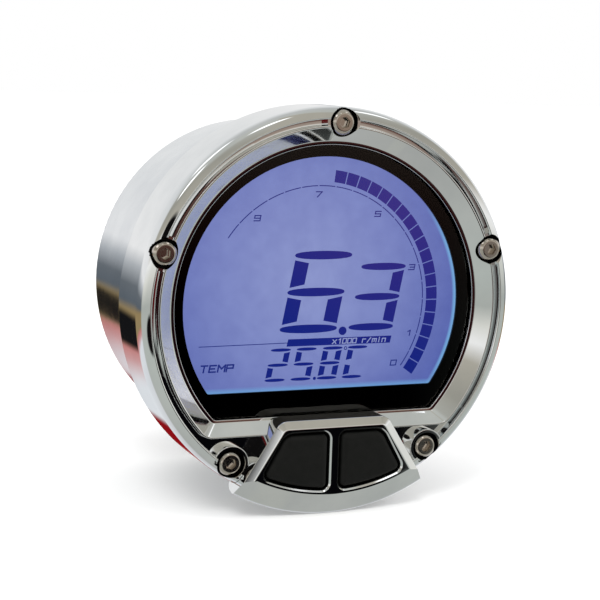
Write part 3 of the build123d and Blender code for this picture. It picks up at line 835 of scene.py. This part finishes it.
# ---------------- bezel screws
def hexagon_reach(across, angle):
    """Distance from the centre to a hexagon, given across its flats."""
    return across / 2 / math.cos((angle + math.pi / 6) % (math.pi / 3) - math.pi / 6)


SCREW_TOP = 38.7
SCREW_HEAD_R = 1.95
SCREW_SHANK_R = 1.0
# Up the socket: size across its flats and height.
SOCKET_PATH = ((1.5, SCREW_TOP - 1.0), (1.5, SCREW_TOP - 0.12), (1.62, SCREW_TOP))
# From the socket over the head and down the shank: radius and height.
HEAD_PATH = (
    (1.2, SCREW_TOP),
    (1.45, SCREW_TOP),
    (SCREW_HEAD_R, SCREW_TOP - 0.45),
    (SCREW_HEAD_R, POCKET_FLOOR),
    (SCREW_SHANK_R, POCKET_FLOOR),
    (SCREW_SHANK_R, 31.6),
    (0.8, 31.4),
)
HEAD_ROUNDING = (0, 0.12, 0.35, 0, 0, 0, 0)


def screw(cx, cz, twist, count=72):
    """Low socket-head screw: rounded rim, flat face, chamfered hexagon socket."""
    turn = around(count)
    rings = [([hexagon_reach(across, a) for a in turn], h) for across, h in SOCKET_PATH]
    rings += [([r] * count, h) for r, h in softened(HEAD_PATH, HEAD_ROUNDING, 5)]
    loops = []
    for reaches, h in rings:
        loop = []
        for r, a in zip(reaches, turn):
            loop.append(row(cx + r * math.cos(a + twist), cz + r * math.sin(a + twist), h))
        loops.append(loop)
    return skin("screw", loops)


def build_screws():
    """The five screws, each stopped at its own angle."""
    screws = [screw(*on_pitch(angle), 0.5 + 1.3 * number) for number, angle in enumerate(SCREW_ANGLES)]
    obj = piece("bezel_screws_look", joined("bezel_screws_look", screws), SCREW, crease=28)
    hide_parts("bezel_screws")


build_screws()


# ---------------- threaded studs
STUD_X = 15.0
STUD_END = -14.0
STUD_TIP_R = 1.9
THREAD_R = 2.5
THREAD_PITCH = 0.8
THREAD_DEPTH = 0.43
SHOULDER_R = 2.7
SHOULDER_FRONT = 3.0


def stud(centre, count=48, per_turn=10):
    """M5 stud on a plain shoulder, with a rolled thread and a chamfered end."""
    turn = around(count)
    loops = []
    for h in (SHOULDER_FRONT, 0.0):
        loops.append([row(centre + SHOULDER_R * math.cos(a), SHOULDER_R * math.sin(a), h) for a in turn])
    steps = int(-STUD_END / THREAD_PITCH * per_turn)
    for k in range(steps + 1):
        h = STUD_END * k / steps
        ring = []
        for a in turn:
            phase = (h / THREAD_PITCH + a / (2 * math.pi)) % 1.0
            # Flat crests and roots, with straight flanks between them.
            tooth = min(1.0, max(0.0, 1.3 - 2.6 * abs(phase - 0.5)))
            r = THREAD_R - THREAD_DEPTH * (1 - tooth)
            r = min(r, STUD_TIP_R + (h - STUD_END))
            ring.append(row(centre + r * math.cos(a), r * math.sin(a), h))
        loops.append(ring)
    return skin("stud", loops)


def build_studs():
    """One stud to each side of the cable gland."""
    studs = [stud(centre) for centre in (-STUD_X, STUD_X)]
    obj = piece("mounting_studs_look", joined("mounting_studs_look", studs), BRASS, crease=40)
    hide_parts("mounting_studs")


build_studs()


# ---------------- lit display
DISPLAY_BACK = 34.13  # height of the lit picture, on the front polariser
INK_H = 34.16  # front of the dark segments
INK_T = 0.02
SLANT = 0.19  # every figure leans this much to the right
STEM_INSET = 0.02  # of a figure's width
STEM_CUT = 0.35  # slope at the ends of a stem, of the bars' thickness
SCALE_X, SCALE_Z = -1.0, 0.4  # centre of the scale's arcs
GLOW_X, GLOW_Z = -3.0, 4.0  # where the backlight is brightest
VIOLET_X, VIOLET_Z = 12.0, 16.0  # where the ink is most violet
APERTURE_R = 23.2
APERTURE_FOOT = -13.4
# Millimetres over which a colour changes: from those two places, past the aperture's foot, before
# its round edge, and to the right.
GLOW_SPAN = (2, 27)
VIOLET_SPAN = (2, 26)
FOOT_SPAN = (0.1, 0.8)
EDGE_SPAN = (0.6, 0.2)
RIGHT_SPAN = (17, 21)


def display_material():
    """Backlit lavender, deeper at the sides, with cyan light at its lower and right edges."""
    m = Nodes("display_background")
    m.set(Base_Color=(0, 0, 0, 1), Roughness=0.6, Specular_IOR_Level=0.0, Emission_Strength=1.0)
    split = m.add("ShaderNodeSeparateXYZ")
    m.link(m.add("ShaderNodeTexCoord").outputs["Object"], split.inputs["Vector"])
    body = m.ramp(
        m.span(m.distance_from(row(GLOW_X, GLOW_Z, DISPLAY_BACK)), *[d * MM for d in GLOW_SPAN]),
        (0.0, srgb(142, 153, 208)),
        (0.55, srgb(124, 136, 198)),
        (1.0, srgb(92, 106, 180)),
    )
    # Faint mottling multiplied into the lit background: a painted reflection, standing in for the mottled
    # reflection on the lens over the display.
    painted_reflection_mottle = m.ramp(m.noise(0.35, 3.0), (0.3, (0.93, 0.93, 0.96, 1)), (0.7, (1.06, 1.06, 1.04, 1)))
    body = m.mix(1.0, body, painted_reflection_mottle, "MULTIPLY")
    foot = m.span(split.outputs["Z"], *[(APERTURE_FOOT + d) * MM for d in FOOT_SPAN], 0.75, 0.0)
    body = m.mix(foot, body, srgb(112, 168, 222))
    # Light leaks round the aperture's right edge only.
    from_middle = m.distance_from(row(0, 0, DISPLAY_BACK))
    edge = m.span(from_middle, *[(APERTURE_R - d) * MM for d in EDGE_SPAN], 0.0, 0.85)
    rightward = m.span(split.outputs["X"], *[d * MM for d in RIGHT_SPAN])
    body = m.mix(m.product(edge, rightward), body, srgb(120, 176, 226))
    m.link(body, m.shader.inputs["Emission Color"])
    return m.material


def ink_material(name, low, high):
    """Dark liquid crystal, slightly more violet towards the upper right."""
    m = Nodes(name)
    m.set(Base_Color=(0, 0, 0, 1), Roughness=0.6, Specular_IOR_Level=0.0, Emission_Strength=1.0)
    off = m.span(m.distance_from(row(VIOLET_X, VIOLET_Z, INK_H)), *[d * MM for d in VIOLET_SPAN])
    m.link(m.ramp(off, (0.0, high), (1.0, low)), m.shader.inputs["Emission Color"])
    return m.material


DISPLAY = display_material()
INK = ink_material("segment_ink", srgb(24, 38, 130), srgb(52, 44, 132))
INK_THIN = ink_material("fine_ink", srgb(36, 48, 128), srgb(48, 50, 128))
UNIT_INK = ink_material("unit_ink", srgb(150, 160, 208), srgb(150, 160, 208))


class Ink:
    """Collects thin printed shapes, in dial millimetres, into one mesh."""

    def __init__(self):
        self.verts = []
        self.faces = []

    def shape(self, points, h=INK_H):
        """A filled outline with a small thickness, given anticlockwise."""
        base = len(self.verts)
        n = len(points)
        for x, z in points:
            self.verts.append(row(x, z, h))
        for x, z in points:
            self.verts.append(row(x, z, h - INK_T))
        self.faces.append(list(range(base, base + n)))
        self.faces.append(list(range(base + 2 * n - 1, base + n - 1, -1)))
        for i in range(n):
            j = (i + 1) % n
            self.faces.append([base + j, base + i, base + n + i, base + n + j])

    def make(self, name, material):
        """The piece with everything collected so far."""
        return piece(name, raw_mesh(name, self.verts, self.faces), material)


def lens_bar(x, z, width, thick, steps=14):
    """Horizontal segment with pointed ends, like a thin lens."""
    points = []
    for side in (1, -1):
        for i in range(steps):
            t = math.pi * i / steps
            bulge = math.sin(t) ** 0.75
            points.append((x + width / 2 + side * math.cos(t) * width / 2, z + side * bulge * thick / 2))
    return points


def digit(ink, shown, x, z, width, height, stem, thick, gap):
    """Seven-segment figure. shown lists the segments a-g that are dark; x, z is its lower left."""
    half = height / 2

    def lean(px, pz):
        """Shifts a point to the right by its height above the foot."""
        return (px + SLANT * (pz - z), pz)

    for name, level in (("a", height), ("g", half), ("d", 0.0)):
        if name in shown:
            ink.shape(lens_bar(x + SLANT * level, z + level, width, thick))
    inset = STEM_INSET * width
    for name, left, level in (("f", True, half), ("e", True, 0.0), ("b", False, half), ("c", False, 0.0)):
        if name not in shown:
            continue
        outer = inset if left else width - inset
        inner = outer + stem if left else outer - stem
        low = z + level + gap
        high = z + level + half - gap
        cut = thick * STEM_CUT
        corners = [
            lean(x + outer, low),
            lean(x + inner, low + cut),
            lean(x + inner, high - cut),
            lean(x + outer, high),
        ]
        if not left:
            corners.reverse()
        ink.shape(corners)


def disc(x, z, r, steps=28):
    """Points of a circle."""
    return [(x + r * math.cos(a), z + r * math.sin(a)) for a in around(steps)]


SEGMENTS = {"6": "acdefg", "3": "abcdg", "2": "abged", "5": "afgcd", "8": "abcdefg", "C": "afed"}
# Engine speed: lower left corner, width, height, width of the stems, thickness of the bars, gap.
REVS_6 = (-7.30, -3.80, 9.7, 11.6, 2.4, 1.35, 0.75)
REVS_3 = (4.40, -3.80, 7.8, 9.65, 1.9, 1.15, 0.62)
REVS_POINT = (3.4, -4.3, 0.68)
# Temperature: left edge of each figure, then the height and size that they share.
TEMPERATURE = (("2", -9.55), ("5", -5.2), ("8", -0.75), ("C", 3.55))
TEMPERATURE_Z = -11.75
TEMPERATURE_SIZE = (3.35, 4.75, 0.95, 0.5, 0.36)
TEMPERATURE_POINT = (-1.15, TEMPERATURE_Z, 0.26)
UNIT_BAR = ((-6.05, -6.5), (11.75, -6.5), (12.0, -5.35), (-5.8, -5.35))


def draw_figures():
    """Engine speed, temperature and the dark bar behind the unit."""
    ink = Ink()
    digit(ink, SEGMENTS["6"], *REVS_6)
    digit(ink, SEGMENTS["3"], *REVS_3)
    ink.shape(disc(*REVS_POINT))
    for glyph, left in TEMPERATURE:
        digit(ink, SEGMENTS[glyph], left, TEMPERATURE_Z, *TEMPERATURE_SIZE)
    ink.shape(disc(*TEMPERATURE_POINT))
    ink.shape(UNIT_BAR)
    ink.make("display_figures", INK)


BAR_COUNT = 20
BAR_IN_R = 18.9
BAR_OUT_R = 20.8
BAR_START = 83.6  # degrees
BAR_STEP = -6.0
BAR_GAP = 0.5


def draw_bars():
    """Blocks of the bar graph, clockwise from the top."""
    ink = Ink()
    for i in range(BAR_COUNT):
        start = BAR_START + BAR_STEP * i
        end = start + BAR_STEP + BAR_GAP
        ink.shape(band_outline(BAR_IN_R, BAR_OUT_R, end, start, 6, SCALE_X, SCALE_Z))
    ink.make("display_bars", INK)


ARC_R = 18.25
ARC_W = 0.15
ARC_START = 146.0  # degrees
ARC_END = -36.5
ARC_DASHES = 20
ARC_GAP = 0.7
RULE = ((-20.4, -6.1), (-5.95, -5.98), (-5.95, -5.86), (-20.4, -5.98))


def draw_scale_line():
    """Fine dashed arc inside the bars, and the rule to the left of the unit."""
    ink = Ink()
    dash = (ARC_START - ARC_END) / ARC_DASHES
    for i in range(ARC_DASHES):
        start = ARC_START - dash * i
        end = start - dash + ARC_GAP
        ink.shape(band_outline(ARC_R - ARC_W / 2, ARC_R + ARC_W / 2, end, start, 8, SCALE_X, SCALE_Z))
    ink.shape(RULE)
    ink.make("display_scale_line", INK_THIN)


draw_figures()
draw_bars()
draw_scale_line()

# Small figures beside the scale, as strokes on a square grid: each is a list of polylines.
STROKES = {
    "0": [[(0, 0), (1, 0), (1, 2), (0, 2), (0, 0)]],
    "1": [[(0.3, 1.6), (0.7, 2), (0.7, 0)]],
    "3": [[(0, 2), (1, 2), (1, 0), (0, 0)], [(0.2, 1), (1, 1)]],
    "5": [[(1, 2), (0, 2), (0, 1), (1, 1), (1, 0), (0, 0)]],
    "7": [[(0, 2), (1, 2), (0.35, 0)]],
    "9": [[(0, 0), (1, 0), (1, 2), (0, 2), (0, 1), (1, 1)]],
    "x": [[(0, 0), (1, 1.6)], [(0, 1.6), (1, 0)]],
    "r": [[(0, 0), (0, 1.5), (0.8, 1.5)]],
    "/": [[(0, 0), (0.8, 2)]],
    "m": [[(0, 0), (0, 1.5), (1.1, 1.5), (1.1, 0)], [(0.55, 1.5), (0.55, 0.3)]],
    "i": [[(0.5, 0), (0.5, 1.4)], [(0.5, 1.85), (0.5, 2.0)]],
    "n": [[(0, 0), (0, 1.5), (0.9, 1.5), (0.9, 0)]],
    "T": [[(0, 2), (1, 2)], [(0.5, 2), (0.5, 0)]],
    "E": [[(1, 2), (0, 2), (0, 0), (1, 0)], [(0, 1), (0.8, 1)]],
    "M": [[(0, 0), (0, 2), (0.55, 0.9), (1.1, 2), (1.1, 0)]],
    "P": [[(0, 0), (0, 2), (1, 2), (1, 1), (0, 1)]],
}


def write(ink, text, x, z, height, pitch, wide, weight, h=INK_H):
    """Draws strokes as thin bars. Letters are wide across and set a pitch apart, from x, z."""
    up = height / 2
    for number, letter in enumerate(text):
        left = x + number * pitch
        for line in STROKES.get(letter, ()):
            for (x0, z0), (x1, z1) in zip(line, line[1:]):
                a = Vector((left + x0 * wide + SLANT * z0 * up, z + z0 * up))
                b = Vector((left + x1 * wide + SLANT * z1 * up, z + z1 * up))
                along = (b - a).normalized() * weight / 2
                across = Vector((-along.y, along.x))
                a -= along
                b += along
                ink.shape([a - across, b - across, b + across, a + across], h)


NUMBER_R = 16.9
NUMBER_START = -37.1  # degrees
NUMBER_STEP = 18.4
NUMBER_LEFT = 0.5  # from a number's middle to its lower left corner
NUMBER_DOWN = 0.4
# Written lines: height of the letters, pitch, how wide they are across, weight of the strokes.
NUMBER_STYLE = (0.8, 1.3, 0.95, 0.17)
LABEL_STYLE = (1.0, 1.4, 1.0, 0.24)
UNIT_STYLE = (0.74, 0.86, 0.62, 0.15)
LABEL_PLACE = (-20.1, -10.0)
UNIT_PLACE = (1.7, -6.3)
DEGREE_X, DEGREE_Z = 4.03, -7.1
DEGREE_OUT_R = 0.3
DEGREE_IN_R = 0.17
DEGREE_STEPS = 16


def draw_legend():
    """Numbers along the scale, label of the temperature and its degree sign."""
    ink = Ink()
    for value in (0, 1, 3, 5, 7, 9):
        a = math.radians(NUMBER_START + NUMBER_STEP * value)
        x = SCALE_X + NUMBER_R * math.cos(a) - NUMBER_LEFT
        z = SCALE_Z + NUMBER_R * math.sin(a) - NUMBER_DOWN
        write(ink, str(value), x, z, *NUMBER_STYLE)
    write(ink, "TEMP", *LABEL_PLACE, *LABEL_STYLE)
    inner = disc(DEGREE_X, DEGREE_Z, DEGREE_IN_R, DEGREE_STEPS)
    outer = disc(DEGREE_X, DEGREE_Z, DEGREE_OUT_R, DEGREE_STEPS)
    for i in range(DEGREE_STEPS):
        j = (i + 1) % DEGREE_STEPS
        ink.shape([inner[i], inner[j], outer[j], outer[i]])
    ink.make("display_small_figures", INK_THIN)


def draw_unit():
    """Unit, in the background's colour on its dark bar."""
    ink = Ink()
    write(ink, "x1000 r/min", *UNIT_PLACE, *UNIT_STYLE, INK_H + INK_T)
    ink.make("display_unit", UNIT_INK)


draw_legend()
draw_unit()


def display_sheet():
    """Lit background, cut to the glass's outline."""
    low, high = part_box("lcd_front_polariser")
    radius = high[0] / MM
    foot = low[2] / MM
    drop = math.asin(-foot / radius)
    points = []
    steps = 180
    for i in range(steps + 1):
        a = -drop + (math.pi + 2 * drop) * i / steps
        points.append((radius * math.cos(a), radius * math.sin(a)))
    sheet = Ink()
    sheet.shape(points, DISPLAY_BACK)
    obj = sheet.make("display_sheet", DISPLAY)
    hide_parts("lcd_front_polariser")


display_sheet()

# ---------------- floor, light and camera
FLOOR_DROP = 0.02  # mm under the lowest point
FLOOR_HALF = 3.0  # metres from the middle to each side


def unreflected(name, data):
    """Object that chrome and lens don't show."""
    obj = bpy.data.objects.new(name, data)
    obj.visible_glossy = False
    obj.visible_transmission = False
    bpy.context.scene.collection.objects.link(obj)
    return obj


def floor():
    """Plain white floor."""
    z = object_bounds()[0].z - FLOOR_DROP * MM
    corners = [(x * FLOOR_HALF, y * FLOOR_HALF, z) for x, y in ((-1, -1), (1, -1), (1, 1), (-1, 1))]
    m = Nodes("floor_paint")
    paint = m.ramp(m.noise(0.01, 2.0), (0.3, srgb(250, 250, 250)), (0.7, srgb(253, 253, 253)))
    m.link(paint, m.shader.inputs["Base Color"])
    m.set(Roughness=0.9, Specular_IOR_Level=0.0)
    data = raw_mesh("floor", corners, [(0, 1, 2, 3)])
    data.materials.append(m.material)
    obj = unreflected("floor", data)
    obj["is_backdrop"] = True


floor()

WHITE_ROOM = (1.0, 1.0, 1.0, 1.0)
PERSON_BEARINGS = (6.0, 30.0, 4.0)  # from, to and soft edge, in degrees right of straight ahead
BACK_FROM, BACK_TO = -0.15, 0.25  # where the front of the room turns into the back, along Y

# The reflected room: how far a ray points up, from -1 to 1, and the red, green and blue it meets.
FRONT_STOPS = (
    (-0.95, 172, 174, 170),
    (-0.35, 182, 188, 182),
    (-0.12, 176, 180, 174),
    (0.02, 222, 222, 214),
    (0.16, 244, 244, 242),
    (0.30, 176, 172, 160),
    (0.55, 160, 158, 148),
    (0.80, 188, 190, 184),
)
PERSON_STOPS = (
    (-0.38, 176, 178, 172),
    (-0.31, 6, 6, 8),
    (-0.165, 5, 5, 8),
    (-0.13, 52, 22, 22),
    (-0.09, 104, 74, 66),
    (-0.02, 168, 154, 142),
    (0.10, 226, 224, 216),
    (0.30, 176, 172, 160),
)
BACK_STOPS = (
    (-0.90, 206, 208, 210),
    (-0.34, 224, 228, 232),
    (-0.30, 206, 160, 160),
    (-0.27, 196, 128, 124),
    (-0.245, 150, 132, 96),
    (-0.16, 150, 130, 92),
    (-0.13, 92, 100, 108),
    (-0.07, 104, 110, 116),
    (0.0, 178, 182, 186),
    (0.06, 238, 238, 238),
    (0.5, 224, 226, 226),
    (0.8, 190, 192, 190),
)
# Single things in the room: direction, inner and outer angle in degrees, colour.
ROOM_PATCHES = (
    ((-0.28, -0.95, -0.12), 6.0, 10.0, srgb(90, 14, 16)),
    ((0.20, 0.90, -0.38), 5.0, 8.0, srgb(140, 16, 22)),
    ((-0.05, -0.90, -0.43), 9.0, 14.0, srgb(22, 20, 20)),
    ((-0.40, -0.89, 0.18), 5.0, 8.0, srgb(16, 15, 15)),
    ((-0.43, -0.87, -0.25), 4.0, 6.0, srgb(16, 15, 15)),
    ((-0.22, 0.95, -0.215), 2.5, 4.5, srgb(22, 22, 24)),
    ((0.0, -0.55, 0.84), 5.0, 9.0, (1.6, 1.6, 1.6, 1.0)),
    ((-0.62, -0.35, 0.70), 6.0, 10.0, (1.7, 1.7, 1.7, 1.0)),
    ((-0.45, 0.35, 0.82), 7.0, 12.0, (1.5, 1.5, 1.5, 1.0)),
    ((0.55, -0.2, 0.8), 5.0, 9.0, (1.5, 1.5, 1.5, 1.0)),
)


class Room(Tree):
    """World nodes that give a colour by a ray's direction."""

    def __init__(self, tree):
        super().__init__(tree)
        self.direction = self.add("ShaderNodeTexCoord").outputs["Generated"]
        split = self.add("ShaderNodeSeparateXYZ")
        self.link(self.direction, split.inputs["Vector"])
        self.along = split.outputs

    def by_height(self, stops):
        """Colour by how far the ray points up."""
        placed = [((up + 1.0) / 2.0, srgb(*colour)) for up, *colour in stops]
        return self.ramp(self.span(self.along["Z"], -1.0, 1.0), *placed)

    def bearing(self):
        """Angle of the ray to the right of straight ahead (-Y), in radians."""
        ahead = self.add("ShaderNodeMath", operation="MULTIPLY")
        ahead.inputs[1].default_value = -1.0
        self.link(self.along["Y"], ahead.inputs[0])
        angle = self.add("ShaderNodeMath", operation="ARCTAN2")
        self.link(self.along["X"], angle.inputs[0])
        self.link(ahead.outputs["Value"], angle.inputs[1])
        return angle.outputs["Value"]

    def between(self, low, high, soft):
        """1 for bearings between two angles in degrees."""
        bearing = self.bearing()
        rise = self.span(bearing, math.radians(low - soft), math.radians(low + soft), kind="SMOOTHSTEP")
        fall = self.span(bearing, math.radians(high + soft), math.radians(high - soft), kind="SMOOTHSTEP")
        return self.product(rise, fall)

    def patch(self, direction, inner, outer):
        """1 inside an angle round a direction, falling to 0 at a wider angle, in degrees."""
        dot = self.add("ShaderNodeVectorMath", operation="DOT_PRODUCT")
        dot.inputs[1].default_value = Vector(direction).normalized()
        self.link(self.direction, dot.inputs[0])
        start, end = math.cos(math.radians(outer)), math.cos(math.radians(inner))
        return self.span(dot.outputs["Value"], start, end, kind="SMOOTHSTEP")


def studio_world():
    """White room for the camera and for soft light; for reflections, a room with its darker things."""
    world = bpy.data.worlds.new("studio")
    bpy.context.scene.world = world
    world.use_nodes = True
    world.node_tree.nodes.clear()
    t = Room(world.node_tree)
    front = t.mix(t.between(*PERSON_BEARINGS), t.by_height(FRONT_STOPS), t.by_height(PERSON_STOPS))
    behind = t.span(t.along["Y"], BACK_FROM, BACK_TO, kind="SMOOTHSTEP")
    room = t.mix(behind, front, t.by_height(BACK_STOPS))
    for direction, inner, outer, colour in ROOM_PATCHES:
        room = t.mix(t.patch(direction, inner, outer), room, colour)
    ray = t.add("ShaderNodeLightPath").outputs
    room = t.mix(ray["Is Camera Ray"], room, WHITE_ROOM)
    room = t.mix(ray["Is Diffuse Ray"], room, WHITE_ROOM)
    background = t.add("ShaderNodeBackground")
    t.link(room, background.inputs["Color"])
    output = t.add("ShaderNodeOutputWorld")
    t.link(background.outputs["Background"], output.inputs["Surface"])


studio_world()

LIGHT_AIM = (0, -0.03, 0)  # metres, as are the places and sizes of the lights
SKY_POWER = 0.45
SKY_SPREAD = 120  # degrees


def softbox(name, place, size, power):
    """Round area light that faces the dial."""
    data = bpy.data.lights.new(name, "AREA")
    data.shape = "DISK"
    data.size = size
    data.energy = power
    obj = unreflected(name, data)
    obj.location = place
    obj.rotation_mode = "QUATERNION"
    obj.rotation_quaternion = (Vector(LIGHT_AIM) - Vector(place)).to_track_quat("-Z", "Y")


def sky():
    """Broad even light from above that keeps the floor white to the horizon."""
    data = bpy.data.lights.new("sky", "SUN")
    data.energy = SKY_POWER
    data.angle = math.radians(SKY_SPREAD)
    unreflected("sky", data)


softbox("key", (-0.25, -0.35, 0.45), 0.25, 1.2)
softbox("fill", (0.4, -0.3, 0.3), 0.3, 0.6)
sky()

CAMERA_PLACE = (-95.8, -258.3, 36.5)  # mm, in front of the dial, to its left and above
CAMERA_LOOK = (0.405, 0.903, -0.145)
CAMERA_UP = (0.025, 0.147, 0.989)
CAMERA_LENS = 94.1  # mm, as is the sensor
CAMERA_SENSOR = 36.0
CAMERA_SHIFT = -0.0833
CLIP_NEAR = 0.01  # metres
CLIP_FAR = 20.0


def camera():
    """Camera in front of the dial, turned only by its look and up directions."""
    data = bpy.data.cameras.new("camera")
    data.sensor_width = CAMERA_SENSOR
    data.lens = CAMERA_LENS
    data.shift_x = CAMERA_SHIFT
    data.clip_start = CLIP_NEAR
    data.clip_end = CLIP_FAR
    obj = bpy.data.objects.new("camera", data)
    look = Vector(CAMERA_LOOK).normalized()
    right = look.cross(Vector(CAMERA_UP)).normalized()
    up = right.cross(look)
    turn = Matrix((right, up, -look)).transposed()
    obj.matrix_world = Matrix.Translation(Vector(CAMERA_PLACE) * MM) @ turn.to_4x4()
    bpy.context.scene.collection.objects.link(obj)
    bpy.context.scene.camera = obj


camera()
bpy.context.scene.view_settings.view_transform = "Standard"
